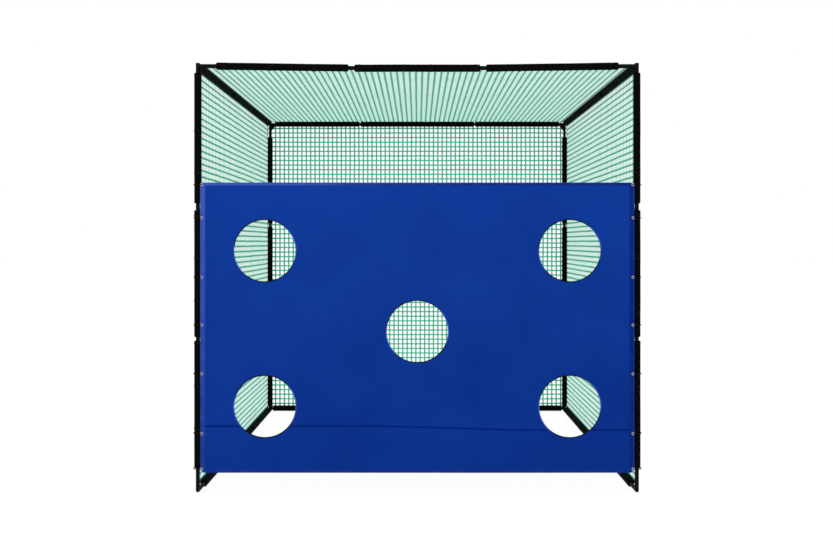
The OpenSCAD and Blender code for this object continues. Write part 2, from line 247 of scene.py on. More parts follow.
def weave_bump(tree, place):
    """The bump of an even plain weave. Its threads are drawn 4 mm apart, several times their real
    spacing, so that the weave still shows."""
    warp = add(tree, "TexWave", {"Vector": place, "Scale": bands_mm(4)}, bands_direction="X")
    weft = add(tree, "TexWave", {"Vector": place, "Scale": bands_mm(4)}, bands_direction="Z")
    weave = add(tree, "Math", {0: warp.outputs["Fac"], 1: weft.outputs["Fac"]},
                operation="MULTIPLY")
    bump = add(tree, "Bump", {"Height": weave.outputs["Value"], "Distance": 0.3 * MM,
                              "Strength": 0.35})
    return bump.outputs["Normal"]


def painted_light_ramp(tree, place, angle, per_metre, start=0.0):
    """A ramp of painted light, 0 to 1 across the sheet's front, rising along a line at an angle to
    +X in the XZ plane.
    """
    turned = add(tree, "Mapping", {"Vector": place, "Location": (start, 0, 0),
                                   "Rotation": (0, math.radians(angle), 0),
                                   "Scale": (per_metre,) * 3})
    return add(tree, "TexGradient", {"Vector": turned.outputs["Vector"]}).outputs["Fac"]


def with_patches(tree, place, light_ramp, size, amount):
    """A ramp of painted light with broad faint random patches of a size added to it."""
    noise_field = add(tree, "TexNoise", {"Vector": place, "Scale": per_mm(size), "Detail": 3,
                                         "Roughness": 0.6})
    patchy = add(tree, "MapRange", {"Value": noise_field.outputs["Fac"], "From Min": 0.25,
                                    "From Max": 0.75, "To Min": -amount, "To Max": amount})
    return add(tree, "Math", {0: light_ramp, 1: patchy.outputs["Result"]}, operation="ADD",
               use_clamp=True).outputs["Value"]


def oxford_cloth():
    # Coated polyester oxford: a flat, even blue, lighter towards the top with painted light falling
    # from above, and with broad faint random patches of lighter and darker blue.
    made, tree, shader, place = surface("blue_oxford_cloth", Roughness=0.7, Specular_IOR_Level=0.05)
    light_ramp = painted_light_ramp(tree, place, angle=97, per_metre=0.4)
    shade = with_patches(tree, place, light_ramp, size=420, amount=0.3)
    colour = add(tree, "Mix", {MIX_BY: shade, AT_0: linear(CLOTH_BLUE),
                               AT_1: linear(LIT_CLOTH_BLUE)}, data_type="RGBA").outputs[MIXED]
    fill(tree, shader, {"Base Color": colour, "Normal": weave_bump(tree, place)})
    return made


def hem_cloth():
    # The same cloth turned over at the hem, with painted light: lighter at the upper left, as if
    # lit from there, and dark at the right, and darkest with painted shade where its crease_shade
    # attribute says that it is pulled into its sewn inner edge.
    made, tree, shader, place = surface("blue_hem_cloth", Roughness=0.7, Specular_IOR_Level=0.05)
    light_ramp = painted_light_ramp(tree, place, angle=126, per_metre=0.54, start=-0.39)
    shade = with_patches(tree, place, light_ramp, size=90, amount=0.2)
    crease_shade = add(tree, "Attribute", {}, attribute_name="crease_shade").outputs["Fac"]
    shade_noise = add(tree, "TexNoise", {"Vector": place, "Scale": per_mm(50), "Detail": 3})
    uneven = add(tree, "MapRange", {"Value": shade_noise.outputs["Fac"], "From Min": 0.35,
                                    "From Max": 0.65, "To Min": 0.45, "To Max": 1.0})
    # how much painted shade the crease takes, uneven along it
    depth = add(tree, "Math", {0: crease_shade, 1: uneven.outputs["Result"]}, operation="MULTIPLY")
    cloth = add(tree, "Mix", {MIX_BY: shade, AT_0: linear(HEM_BLUE),
                              AT_1: linear(LIT_HEM_BLUE)}, data_type="RGBA").outputs[MIXED]
    colour = add(tree, "Mix", {MIX_BY: depth.outputs["Value"], AT_0: cloth,
                               AT_1: linear(CREASE_SHADE_BLUE)}, data_type="RGBA").outputs[MIXED]
    fill(tree, shader, {"Base Color": colour, "Normal": weave_bump(tree, place)})
    return made


def painted_crease_shade():
    # Cloth pulled down into a needle line: the same blue, darkened with painted shade, with paler
    # random patches of that shade.
    made, tree, shader, place = surface("crease_shaded_oxford_cloth", Roughness=0.8,
                                        Specular_IOR_Level=0.02)
    shade_noise = add(tree, "TexNoise", {"Vector": place, "Scale": per_mm(120), "Detail": 3})
    colour = add(tree, "Mix", {MIX_BY: shade_noise.outputs["Fac"], AT_0: linear(CREASE_SHADE_BLUE),
                               AT_1: linear(PALER_CREASE_SHADE)}, data_type="RGBA").outputs[MIXED]
    fill(tree, shader, {"Base Color": colour, "Normal": weave_bump(tree, place)})
    return made


def binding_tape():
    # Narrow folded tape round a hole: navy, with painted highlights on two sides and painted shade
    # between them, which its wear_and_highlight attribute gives, in patches.
    made, tree, shader, place = surface("hole_binding_tape", Roughness=0.7, Specular_IOR_Level=0.05)
    lit_sides = add(tree, "Attribute", {}, attribute_name="wear_and_highlight")
    lit_sides_patchy = with_patches(tree, place, lit_sides.outputs["Fac"], size=60, amount=0.3)
    pale = add(tree, "MapRange", {"Value": lit_sides_patchy, "From Min": 0.6, "From Max": 0.95})
    colour = add(tree, "Mix", {MIX_BY: pale.outputs["Result"], AT_0: linear(TAPE_NAVY),
                               AT_1: linear(HIGHLIGHT_TAPE)}, data_type="RGBA").outputs[MIXED]
    fill(tree, shader, {"Base Color": colour, "Normal": weave_bump(tree, place)})
    return made


def nickel():
    # Stamped nickel-plated brass: bright, with faint turning marks.
    made, tree, shader, place = surface("nickel_plate", Metallic=1.0)
    marks = add(tree, "TexNoise", {"Vector": place, "Scale": per_mm(6), "Detail": 4})
    colour = add(tree, "Mix", {MIX_BY: marks.outputs["Fac"], AT_0: linear("#8c8da0"),
                               AT_1: linear("#e0e0ee")}, data_type="RGBA").outputs[MIXED]
    rough = add(tree, "MapRange", {"Value": marks.outputs["Fac"], "To Min": 0.18, "To Max": 0.36})
    fill(tree, shader, {"Base Color": colour, "Roughness": rough.outputs["Result"]})
    return made


def elastic_braid():
    # Shock cord in a black braided cover.
    made, tree, shader, place = surface("elastic_braid", Roughness=0.8, Specular_IOR_Level=0.05)
    braid = add(tree, "TexWave", {"Vector": place, "Scale": bands_mm(3)},
                bands_direction="DIAGONAL")
    colour = add(tree, "Mix", {MIX_BY: braid.outputs["Fac"], AT_0: linear("#060606"),
                               AT_1: linear("#17171a")}, data_type="RGBA").outputs[MIXED]
    bump = add(tree, "Bump", {"Height": braid.outputs["Fac"], "Distance": 0.3 * MM,
                              "Strength": 0.6})
    fill(tree, shader, {"Base Color": colour, "Normal": bump.outputs["Normal"]})
    return made


FOAM = closed_cell_foam()
STEEL = powder_coat()
NET_TWINE = twine("net_twine", "#2cddb4", "#46f2cd", 0.8)
# a greyer, darker copy of the net twine: painted shade on the strands that run one way, and on the
# knots
SHADED_TWINE = twine("shaded_net_twine", "#5cba9c", "#74d0b3", 0.8)
NET_ROPE = twine("net_rope", "#054f38", "#0b6b4e", 0.7)
BORDER = twine("border_webbing", "#041a13", "#0a3325", 0.8)
STRAP = webbing()
CLOTH = oxford_cloth()
HEM = hem_cloth()
CREASE_SHADE_CLOTH = painted_crease_shade()
BINDING = binding_tape()
THREAD = twine("sewing_thread", "#34529f", "#5c78c8", 0.8)
NAVY_THREAD = twine("navy_sewing_thread", "#02134f", "#041d66", 0.8)
NICKEL = nickel()
ELASTIC = elastic_braid()


# ---- making pieces ----

def verts_since(bm, count):
    """The verts that a bmesh has gained since it had count of them."""
    bm.verts.ensure_lookup_table()
    return bm.verts[count:]


def piece(bm, name, material, replaced=(), body="root", sharp=None):
    """Makes an object of a bmesh drawn in millimetres. It rides on body and replaces CAD nodes."""
    bmesh.ops.scale(bm, vec=(MM, MM, MM), verts=bm.verts)
    for face in bm.faces:
        face.smooth = True
    mesh = bpy.data.meshes.new(name)
    bm.to_mesh(mesh)
    bm.free()
    if sharp is not None:
        mesh.set_sharp_from_angle(angle=math.radians(sharp))
    mesh.materials.append(material)
    made = bpy.data.objects.new(name, mesh)
    bpy.context.scene.collection.objects.link(made)
    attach(made, body)
    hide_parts(*replaced)
    return made


def closed_outline(bm, points):
    """Adds a closed loop of edges through points, and returns its verts and edges."""
    verts = [bm.verts.new(p) for p in points]
    return verts + [bm.edges.new((a, b)) for a, b in zip(verts, verts[1:] + verts[:1])]


def sweep(bm, outline, step, steps, turn=0.0):
    """Draws an outline along in steps, turning it by turn in all about Z. The ends stay open."""
    bmesh.ops.spin(bm, geom=outline, cent=(0, 0, 0), axis=Z, dvec=step, angle=turn, steps=steps)


def unit_mesh(bm):
    """A small mesh, made of a bmesh, that stamp() adds many times."""
    mesh = bpy.data.meshes.new("unit")
    bm.to_mesh(mesh)
    bm.free()
    return mesh


def stamp(bm, unit, place):
    """Adds a copy of a small mesh, set at a place."""
    unit.transform(place)
    bm.from_mesh(unit)
    unit.transform(place.inverted())


def pointing(start, end):
    """A place that carries a shape drawn up +Z from the origin to start, on the way to end."""
    turn = (end - start).to_track_quat("Z", "Y").to_matrix().to_4x4()
    return Matrix.Translation(start) @ turn


def in_a_row(unit, step, copies):
    """A mesh of copies of a unit, each one step past the one before."""
    bm = bmesh.new()
    for k in range(copies):
        stamp(bm, unit, Matrix.Translation(step * k))
    return unit_mesh(bm)


def close_ends(bm):
    """Fills every open end and points all faces outwards."""
    bmesh.ops.holes_fill(bm, edges=[e for e in bm.edges if e.is_boundary], sides=0)
    bmesh.ops.recalc_face_normals(bm, faces=bm.faces)


# ---- foam sleeves ----

SLEEVE_BORE_R = 16
BORE_CHAMFER = 1
SLEEVE_LIP = 4
LIP_STEPS = 4
SLEEVE_STEP = 60
SLEEVE_SIDES = 32
SLEEVE_SHRINK = 0.7
DENT_ACROSS, DENT_ALONG = 50, 110
SLEEVE_BEND = 0.8
BEND_ALONG = 260
# how far apart two sleeves are in the noise that dents and bends them
DENT_SHIFT, BEND_SHIFT = 7.3, 3.1
# a sleeve with its underside lower than this lies on the floor
LYING_Z = 1


def sleeve_section(length):
    """Half the wall of a tube along Z, from its bore round both lips to its skin."""
    rings = max(2, round((length - 2 * SLEEVE_LIP) / SLEEVE_STEP))
    angles = [math.radians(90 * k / LIP_STEPS) for k in range(LIP_STEPS + 1)]
    lip = [(SLEEVE_LIP * math.sin(a), SLEEVE_LIP * math.cos(a)) for a in angles]
    low = [(SLEEVE_R - SLEEVE_LIP + s, SLEEVE_LIP - c) for s, c in lip]
    high = [(r, length - z) for r, z in reversed(low)]
    skin = [(SLEEVE_R, SLEEVE_LIP + (length - 2 * SLEEVE_LIP) * k / rings) for k in range(1, rings)]
    first, last = (SLEEVE_BORE_R + BORE_CHAMFER, 0), (SLEEVE_BORE_R + BORE_CHAMFER, length)
    bore = [(SLEEVE_BORE_R, length - BORE_CHAMFER), (SLEEVE_BORE_R, BORE_CHAMFER)]
    return [Vector((r, 0, z)) for r, z in [first, *low, *skin, *high, last, *bore]]


def handled(co, seed):
    """A point of a straight sleeve, squeezed and bent a little as foam that has been handled.
    The bore stays true, because it slides along the pole."""
    if math.hypot(co.x, co.y) < SLEEVE_BORE_R + SLEEVE_LIP / 2:
        return co.copy()
    where = Vector((co.x / DENT_ACROSS, co.y / DENT_ACROSS, co.z / DENT_ALONG + seed * DENT_SHIFT))
    squeeze = 1 - SLEEVE_SHRINK / SLEEVE_R * (0.5 + 0.5 * noise.noise(where))
    along = co.z / BEND_ALONG + seed * BEND_SHIFT
    bend = Vector((noise.noise(Vector((along, 0, seed))), noise.noise(Vector((0, along, seed))), 0))
    return Vector((co.x * squeeze, co.y * squeeze, co.z)) + bend * SLEEVE_BEND


def add_sleeve(bm, low, high, seed):
    """Adds the foam tube that fills a CAD sleeve's box. The end nearer the middle hangs lower."""
    size = high - low
    axis = max(range(3), key=lambda i: size[i])
    on_floor = low.z < LYING_Z
    upper = high.z - SLEEVE_R
    lower = upper if on_floor else low.z + SLEEVE_R
    start, end = (low + high) / 2, (low + high) / 2
    start[axis], end[axis] = low[axis], high[axis]
    if axis != 2:
        first_is_outer = abs(low[axis]) > abs(high[axis])
        start.z, end.z = (upper, lower) if first_is_outer else (lower, upper)
    length = (end - start).length
    count = len(bm.verts)
    bmesh.ops.spin(bm, geom=closed_outline(bm, sleeve_section(length)), cent=(0, 0, 0), axis=Z,
                   angle=2 * math.pi, steps=SLEEVE_SIDES, use_merge=True)
    place = pointing(start, end)
    for vert in verts_since(bm, count):
        vert.co = place @ handled(vert.co, seed)
        if on_floor:
            vert.co.z = max(0, vert.co.z)


def make_sleeves():
    seed = 0
    for run in RUNS:
        bodies = {f"end_sleeves_{run}": "root", f"middle_sleeve_{run}": f"sleeve_{run}"}
        for node, body in bodies.items():
            bm = bmesh.new()
            for low, high in solids_mm(node):
                seed += 1
                add_sleeve(bm, low, high, seed)
            bmesh.ops.recalc_face_normals(bm, faces=bm.faces)
            made = piece(bm, f"foam_{node}", FOAM, [node], body, sharp=50)


# ---- net ----

STRAND_W, STRAND_T = 14.0, 2.2
KNOT_R, KNOT_T = 12.0, 3.0
# the two materials of a net: its plain twine, and a copy of it darkened with painted shade
PLAIN_TONE, SHADED_TONE = 0, 1
SEAM_BAND, BASE_BAND, SKIRT, BAND_T = 44, 10, 16, 3.4
# how a strand strays: how far, over what length, and how much finer and weaker its second wave is
NET_WOBBLE, NET_WAVE = 1.6, 260
FINER_WAVE, FINER_SHARE = 3.7, 0.4
NET_SEED = 1
STEADY_EDGE = 45
ROPE_R = 3
ROPE_SIDES = 12
ROPE_STRANDS, STRAND_RELIEF = 3, 0.14
ROPE_LAY = 30
ROPE_RING = 6
ROPE_UNIT = 150
ROPE_MERGE = 0.05

rope_low, rope_high = box_mm("net_front_ropes")
base_low, base_high = box_mm("net_bottom_ropes")
NET_X = rope_high.x - ROPE_R
NET_BACK = base_high.y - ROPE_R
NET_TOP = rope_high.z - ROPE_R
NET_FRONT = (rope_low.y + rope_high.y) / 2
NET_BASE = (base_low.z + base_high.z) / 2
# the front rope's distance from the axes of the front bars, and how far back the net is drawn to it
ROPE_OUT = 17.5
DRAW_IN = NET_X - HALF_W - ROPE_OUT
EDGE_TURN = 42
# the droop of the front top bar: its two slopes' share of the bar, and where the net follows it
SAG_SLOPE = 0.62
SAG_TOP_SHARE = 0.98
SAG_REACH = 520


def bar_sag(x):
    """How far the front top bar hangs below its ends at x."""
    return BAR_SAG * smooth((HALF_W - abs(x)) / (SAG_SLOPE * HALF_W))


def settle(co):
    """Draws a point of the net or its ropes towards the front bars, which hold the front edge."""
    near = 1 - smooth((co.y - NET_FRONT) / EDGE_TURN)
    height = (co.z - NET_BASE) / (NET_TOP - NET_BASE)
    x = co.x * (1 - near * DRAW_IN / NET_X)
    z = co.z - near * DRAW_IN * height
    if height > SAG_TOP_SHARE:
        z -= bar_sag(co.x) * (1 - smooth((co.y - NET_FRONT) / SAG_REACH))
    return Vector((x, co.y, z))


def wobble(co, inset):
    """The small shift of a net strand at co, which dies out at the edge ropes."""
    shift = noise.noise_vector(co / NET_WAVE)
    shift += noise.noise_vector(co / NET_WAVE * FINER_WAVE) * FINER_SHARE
    return shift * NET_WOBBLE * smooth(inset / STEADY_EDGE)


def strand(length, pieces, along, normal, tone=PLAIN_TONE, width=STRAND_W, thickness=STRAND_T):
    """A flat strand or band from the origin, with a ring at each knot."""
    bm = bmesh.new()
    side = along.cross(normal)
    # Across its flats, a hexagon measures its radius times the root of three.
    depth = normal * thickness / math.sqrt(3)
    axes = Matrix((depth, side * width / 2, along)).transposed().to_4x4()
    bmesh.ops.create_circle(bm, segments=6, radius=1, matrix=axes)
    sweep(bm, bm.verts[:] + bm.edges[:], along * length / pieces, pieces)
    close_ends(bm)
    for face in bm.faces:
        face.material_index = tone
    return unit_mesh(bm)


def knot(axes):
    """The thicker spot where strands cross: a low four-sided block, its corners on the strands."""
    bm = bmesh.new()
    bmesh.ops.create_cone(bm, cap_ends=True, segments=4, radius1=KNOT_R, radius2=KNOT_R,
                          depth=KNOT_T, matrix=axes)
    for face in bm.faces:
        face.material_index = SHADED_TONE
    return unit_mesh(bm)


def make_net(node, name, corner, right, up, meshes, first, shaded_up=True, bound=()):
    """A flat panel of square meshes between its ropes, with a thicker spot where strands cross.
    first is the part of a mesh before the first strand each way. The strands up the panel, or along
    it, are of the greyer twine, as the knots are: a copy of the net twine darkened with painted
    shade.
    bound lists the edges with webbing."""
    size = (right.length, up.length)
    right_way, up_way = right.normalized(), up.normalized()
    normal = right_way.cross(up_way)
    columns, rows = meshes
    step_right, step_up = right / columns, up / rows
    axes = Matrix((right_way, up_way, normal)).transposed().to_4x4()
    upward = strand(size[1], rows, up_way, normal, SHADED_TONE if shaded_up else PLAIN_TONE)
    sideways = strand(size[0], columns, right_way, normal, PLAIN_TONE if shaded_up else SHADED_TONE)
    knots = in_a_row(knot(axes), step_right, columns)
    across_first = step_right * first[0]
    bm = bmesh.new()
    for k in range(columns):
        stamp(bm, upward, Matrix.Translation(across_first + step_right * k))
    for k in range(rows):
        level = step_up * (k + first[1])
        stamp(bm, sideways, Matrix.Translation(level))
        stamp(bm, knots, Matrix.Translation(level + across_first))
    for vert in bm.verts:
        across, high = vert.co.dot(right_way), vert.co.dot(up_way)
        inset = min(across, size[0] - across, high, size[1] - high)
        co = corner + vert.co
        shift = wobble(co, inset)
        flat_shift = shift - normal * shift.dot(normal)
        vert.co = settle(co + flat_shift)
    made = piece(bm, name, NET_TWINE, [node])
    made.data.materials.append(SHADED_TWINE)
    edges = {
        # where the edge starts, how it runs, the way into the panel, and the webbing's width
        "left": (corner, up, right_way, SEAM_BAND),
        "right": (corner + right, up, -right_way, SEAM_BAND),
        "top": (corner + up, right, -up_way, SEAM_BAND),
        "bottom": (corner, right, up_way, BASE_BAND),
        "skirt": (corner - up_way * SKIRT, right, up_way, SKIRT + ROPE_R),
    }
    make_border(f"{node}_border", [edges[edge] for edge in bound], normal)


def make_border(name, edges, normal):
    """The dark webbing that binds the edges of a net panel."""
    bm = bmesh.new()
    for start, run, inward, width in edges:
        pieces = round(run.length / STEADY_EDGE)
        band = strand(run.length, pieces, run.normalized(), normal, width=width, thickness=BAND_T)
        stamp(bm, band, Matrix.Translation(start + inward * width / 2))
    for vert in bm.verts:
        vert.co = settle(vert.co)
    piece(bm, name, BORDER)


def make_nets():
    # Without a seed, noise_vector starts from the clock and strays differently each time.
    noise.seed_set(NET_SEED)
    front = NET_FRONT + ROPE_R
    back = NET_BACK - ROPE_R
    base = NET_BASE + ROPE_R
    top = NET_TOP - ROPE_R
    wide, deep, tall = X * 2 * (NET_X - ROPE_R), Y * (back - front), Z * (top - base)
    make_net("net_back", "net_back_mesh", Vector((-NET_X + ROPE_R, NET_BACK, base)), wide, tall,
             meshes=(68, 62), first=(0.67, 0.65), bound=["bottom"])
    make_net("net_top", "net_top_mesh", Vector((-NET_X + ROPE_R, front, NET_TOP)), wide, deep,
             meshes=(66, 65), first=(0.8, 0.5), bound=["left", "right"])
    for side, sign in SIDES.items():
        make_net(f"net_{side}", f"net_{side}_mesh", Vector((sign * NET_X, front, base)), deep, tall,
                 meshes=(65, 64), first=(0.5, 0.16), shaded_up=False, bound=["skirt", "top"])


def rope_unit():
    """A few lays of three-strand rope along Z: a lobed outline, turned as it is drawn along."""
    bm = bmesh.new()
    outline = []
    for k in range(ROPE_SIDES):
        angle = 2 * math.pi * k / ROPE_SIDES
        radius = ROPE_R * (1 - STRAND_RELIEF + STRAND_RELIEF * math.cos(ROPE_STRANDS * angle))
        outline.append(Vector((radius * math.cos(angle), radius * math.sin(angle), 0)))
    steps = round(ROPE_UNIT / ROPE_RING)
    turn = 2 * math.pi * ROPE_UNIT / ROPE_LAY
    sweep(bm, closed_outline(bm, outline), Z * ROPE_RING, steps, turn=turn)
    return unit_mesh(bm)


def make_ropes(node, name, runs):
    """Rope along straight runs, moved with the edges of the net that it holds."""
    bm = bmesh.new()
    unit = rope_unit()
    for start, end in runs:
        length = (end - start).length
        copies = round(length / ROPE_UNIT)
        place = pointing(start, end) @ Matrix.Diagonal((1, 1, length / (copies * ROPE_UNIT), 1))
        for k in range(copies):
            stamp(bm, unit, place @ Matrix.Translation(Z * ROPE_UNIT * k))
    bmesh.ops.remove_doubles(bm, verts=bm.verts, dist=ROPE_MERGE)
    close_ends(bm)
    for vert in bm.verts:
        vert.co = settle(vert.co)
    piece(bm, name, NET_ROPE, [node])


def corner_point(side, deep, high):
    """A corner of the net: on a side, at the back or the front, and at the top or the base."""
    return Vector((side * NET_X, NET_BACK if deep else NET_FRONT, NET_TOP if high else NET_BASE))


def make_edge_ropes():
    front, base, seams = [], [], []
    for side in SIDES.values():
        front.append((corner_point(side, False, False), corner_point(side, False, True)))
        base.append((corner_point(side, False, False), corner_point(side, True, False)))
        seams.append((corner_point(side, True, False), corner_point(side, True, True)))
        seams.append((corner_point(side, False, True), corner_point(side, True, True)))
    front.append((corner_point(-1, False, True), corner_point(1, False, True)))
    base.append((corner_point(-1, True, False), corner_point(1, True, False)))
    seams.append((corner_point(-1, True, True), corner_point(1, True, True)))
    make_ropes("net_front_ropes", "net_front_rope", front)
    make_ropes("net_bottom_ropes", "net_bottom_rope", base)
    make_ropes("net_seam_ropes", "net_seam_rope", seams)


# ---- straps ----

STRAP_W, STRAP_T = 8, 1.2
BELT_STEPS, BELT_END_STEPS = 20, 6
STRAP_TAIL = 5
# the strap's clearance from the rope and from its own lap
ROPE_CLEAR, LAP_CLEAR = 0.3, 0.1


def belt_points(bar_r, rope_out):
    """The line of a strap round a bar at the origin and a rope at rope_out, both in the XY plane.
    It laps over its own start, one strap's thickness further out."""
    apart = rope_out.length
    towards = math.atan2(rope_out.y, rope_out.x)
    bar, rope = bar_r + STRAP_T / 2, ROPE_R + STRAP_T / 2 + ROPE_CLEAR
    lap = bar + STRAP_T + LAP_CLEAR
    spread = math.acos((bar - rope) / apart)
    wrap = 2 * math.pi - 2 * spread
    bar_arc = [towards + spread + wrap * k / BELT_STEPS for k in range(BELT_STEPS + 1)]
    rope_arc = [towards - spread + 2 * spread * k / BELT_END_STEPS
                for k in range(BELT_END_STEPS + 1)]
    line = [Vector((bar * math.cos(a), bar * math.sin(a))) for a in bar_arc]
    line += [rope_out + Vector((rope * math.cos(a), rope * math.sin(a))) for a in rope_arc]
    line += [Vector((lap * math.cos(a), lap * math.sin(a))) for a in bar_arc[1:1 + STRAP_TAIL]]
    return [point.to_3d() for point in line]


def add_strap(bm, place, bar_r, rope_out):
    """Adds a strap round a bar at a place and the rope beside it, as one flat turn of webbing."""
    count = len(bm.verts)
    verts = [bm.verts.new(p - Z * STRAP_W / 2) for p in belt_points(bar_r, rope_out)]
    edges = [bm.edges.new(pair) for pair in zip(verts, verts[1:])]
    sweep(bm, verts + edges, Z * STRAP_W, 1)
    bmesh.ops.transform(bm, matrix=place, verts=verts_since(bm, count))


def make_straps(node, name, bar_r, side_out, bar_out):
    """One strap where each CAD strap is: round an upright or rail, or round a bar along X."""
    bm = bmesh.new()
    for low, high in solids_mm(node):
        centre, size = (low + high) / 2, high - low
        along = min(range(3), key=lambda i: size[i])
        sign = 1 if centre.x > 0 else -1
        bar_y = -HALF_D if centre.y < 0 else HALF_D
        if along == 0:
            turn = Matrix((Y, Z, X)).transposed().to_4x4()
            bar_z = TOP_Z - bar_sag(centre.x) if centre.z > TOP_Z / 2 else RAIL_Z
            place = Matrix.Translation((centre.x, bar_y, bar_z)) @ turn
            add_strap(bm, place, bar_r, bar_out)
        elif along == 1:
            turn = Matrix((X, Z, -Y)).transposed().to_4x4()
            place = Matrix.Translation((sign * HALF_W, centre.y, RAIL_Z)) @ turn
            add_strap(bm, place, bar_r, Vector((sign * side_out.x, side_out.y)))
        else:
            place = Matrix.Translation((sign * HALF_W, bar_y, centre.z))
            add_strap(bm, place, bar_r, Vector((sign * side_out.x, side_out.y)))
    bmesh.ops.recalc_face_normals(bm, faces=bm.faces)
    bmesh.ops.solidify(bm, geom=bm.faces[:], thickness=STRAP_T)
    piece(bm, name, STRAP, [node], sharp=40)


def make_all_straps():
    front_out = Vector((ROPE_OUT, NET_FRONT + HALF_D))
    top_out = Vector((NET_FRONT + HALF_D, ROPE_OUT))
    base_out = Vector((NET_X - HALF_W, NET_BASE - RAIL_Z))
    make_straps("net_straps_front", "straps_front", SLEEVE_R, front_out, top_out)
    make_straps("net_straps_bottom", "straps_bottom", POLE_R, base_out, base_out)


# ---- target sheet ----

sheet_low, sheet_high = box_mm("target_sheet")
hem_low, hem_high = box_mm("hem_left")
tape_boxes = solids_mm("hole_tapes")
SHEET_EDGE = sheet_high.x
SHEET_BASE, SHEET_TOP = sheet_low.z, sheet_high.z
SHEET_FRONT, SHEET_BACK = sheet_low.y, sheet_high.y
SHEET_T = SHEET_BACK - SHEET_FRONT
SIDE_HEM = hem_high.x - hem_low.x
EDGE_HEM = box_mm("hem_bottom")[1].z - SHEET_BASE
TAPE_W = 8
HOLES = [(low + high) / 2 for low, high in tape_boxes]
HOLE_R = (tape_boxes[0][1].x - tape_boxes[0][0].x) / 2 - TAPE_W
EYELETS = [(low + high) / 2 for low, high in solids_mm("eyelets")]
EYELET_CUT_R = 6
HOLE_SIDES, EYELET_CUT_SIDES = 96, 16
CORNER_CUT = 23
CLOTH_GRID = 30

# the cloth's slack: a steady part, a broad wave and finer ones, which grow from the laced edge
SLACK, SLACK_BASE = 3.2, 0.5
LACED_EDGE, SLACK_GROWTH = 70, 300
BROAD_WAVE, BROAD_WAVE_X, BROAD_WAVE_Z = 0.5, 330, 480
BROAD_START_X, BROAD_START_Z = 0.7, 0.3
FINE_WAVE, FINE_WAVE_X, FINE_WAVE_Z = 0.7, 420, 300
FINE_WAVE_SLICE = 3.5

# the puckers beside the eyelets: their height and half width, how far in they reach and over what
# length they die out there, and the same at the sheet's edge
PUCKER, PUCKER_HALF_W = 1.1, 34
PUCKER_REACH, PUCKER_FADE = 420, 360
PUCKER_EDGE, PUCKER_EDGE_FADE = 25, 120


def forward(x, z):
    """How far the cloth stands forward of its plane at x and z."""
    inset = SHEET_EDGE - abs(x)
    broad = math.sin(x / BROAD_WAVE_X + BROAD_START_X) * math.sin(z / BROAD_WAVE_Z + BROAD_START_Z)
    fine = noise.noise(Vector((x / FINE_WAVE_X, FINE_WAVE_SLICE, z / FINE_WAVE_Z)))
    wave = (BROAD_WAVE * broad + FINE_WAVE * fine + SLACK_BASE) * SLACK
    free = smooth((inset - LACED_EDGE) / SLACK_GROWTH)
    pulled = sum(math.exp(-((z - e.z) / PUCKER_HALF_W) ** 2) for e in EYELETS if e.x * x > 0)
    pucker = PUCKER * pulled * smooth((PUCKER_REACH - inset) / PUCKER_FADE)
    return max(0, wave * free) + pucker * smooth((inset - PUCKER_EDGE) / PUCKER_EDGE_FADE)


def lay_on_cloth(bm):
    """Moves what is drawn on the flat sheet forward with the cloth."""
    for vert in bm.verts:
        vert.co.y -= forward(vert.co.x, vert.co.z)


def facing_front():
    """Turns a shape drawn in the XY plane to stand in the XZ plane, its +Z towards the front."""
    return Matrix.Rotation(math.radians(90), 4, "X")


def make_sheet():
    bm = bmesh.new()
    edge, cut = SHEET_EDGE, CORNER_CUT
    outline = []
    for sx, sz in ((-1, -1), (1, -1), (1, 1), (-1, 1)):
        z = SHEET_BASE if sz < 0 else SHEET_TOP
        beside = Vector((sx * edge, 0, z - sz * cut))
        along = Vector((sx * (edge - cut), 0, z))
        outline += [beside, along] if sx * sz > 0 else [along, beside]
    closed_outline(bm, outline)
    cuts = ((HOLES, HOLE_R, HOLE_SIDES), (EYELETS, EYELET_CUT_R, EYELET_CUT_SIDES))
    for places, radius, sides in cuts:
        for centre in places:
            place = Matrix.Translation((centre.x, 0, centre.z)) @ facing_front()
            bmesh.ops.create_circle(bm, segments=sides, radius=radius, matrix=place)
    bmesh.ops.triangle_fill(bm, edges=bm.edges, use_beauty=True, normal=(0, -1, 0))
    columns = round(2 * edge / CLOTH_GRID)
    rows = round((SHEET_TOP - SHEET_BASE) / CLOTH_GRID)
    tall = SHEET_TOP - SHEET_BASE
    planes = [((-edge + 2 * edge * k / columns, 0, 0), X) for k in range(1, columns)]
    planes += [((0, 0, SHEET_BASE + tall * k / rows), Z) for k in range(1, rows)]
    for point, way in planes:
        geometry = bm.verts[:] + bm.edges[:] + bm.faces[:]
        bmesh.ops.bisect_plane(bm, geom=geometry, dist=SAME_POINT, plane_co=point, plane_no=way)
    for vert in bm.verts:
        vert.co.y = SHEET_FRONT
    lay_on_cloth(bm)
    for face in bm.faces:
        if face.normal.y > 0:
            face.normal_flip()
    bmesh.ops.solidify(bm, geom=bm.faces[:], thickness=SHEET_T)
    return piece(bm, "sheet_cloth", CLOTH, ["target_sheet"], sharp=40)


HEM_SECTION = [
    # (share of the hem's width in from the edge, height in front of the cloth)
    (1.0, 0.1), (0.93, 0.9), (0.8, 0.7), (0.55, 1.7), (0.25, 1.6), (0.06, 1.0), (0.0, 0.0),
]
# the hem's height behind the cloth, as a share of its height in front
HEM_BACK_SHARE = 0.6
SIDE_HEM_PIECES, EDGE_HEM_PIECES = 90, 120
# the hems whose inner half takes painted shade, and where along X that shade starts and what it
# takes to grow in
CREASE_SHADED_HEMS = ("hem_right", "hem_top")
CREASE_SHADE_START, CREASE_SHADE_GROWTH = -700, 400
# where the painted crease shade starts across a hem, and what it takes to grow, as shares of the
# hem's width
CREASE_SHADE_INSET, CREASE_SHADE_RISE = 0.25, 0.3


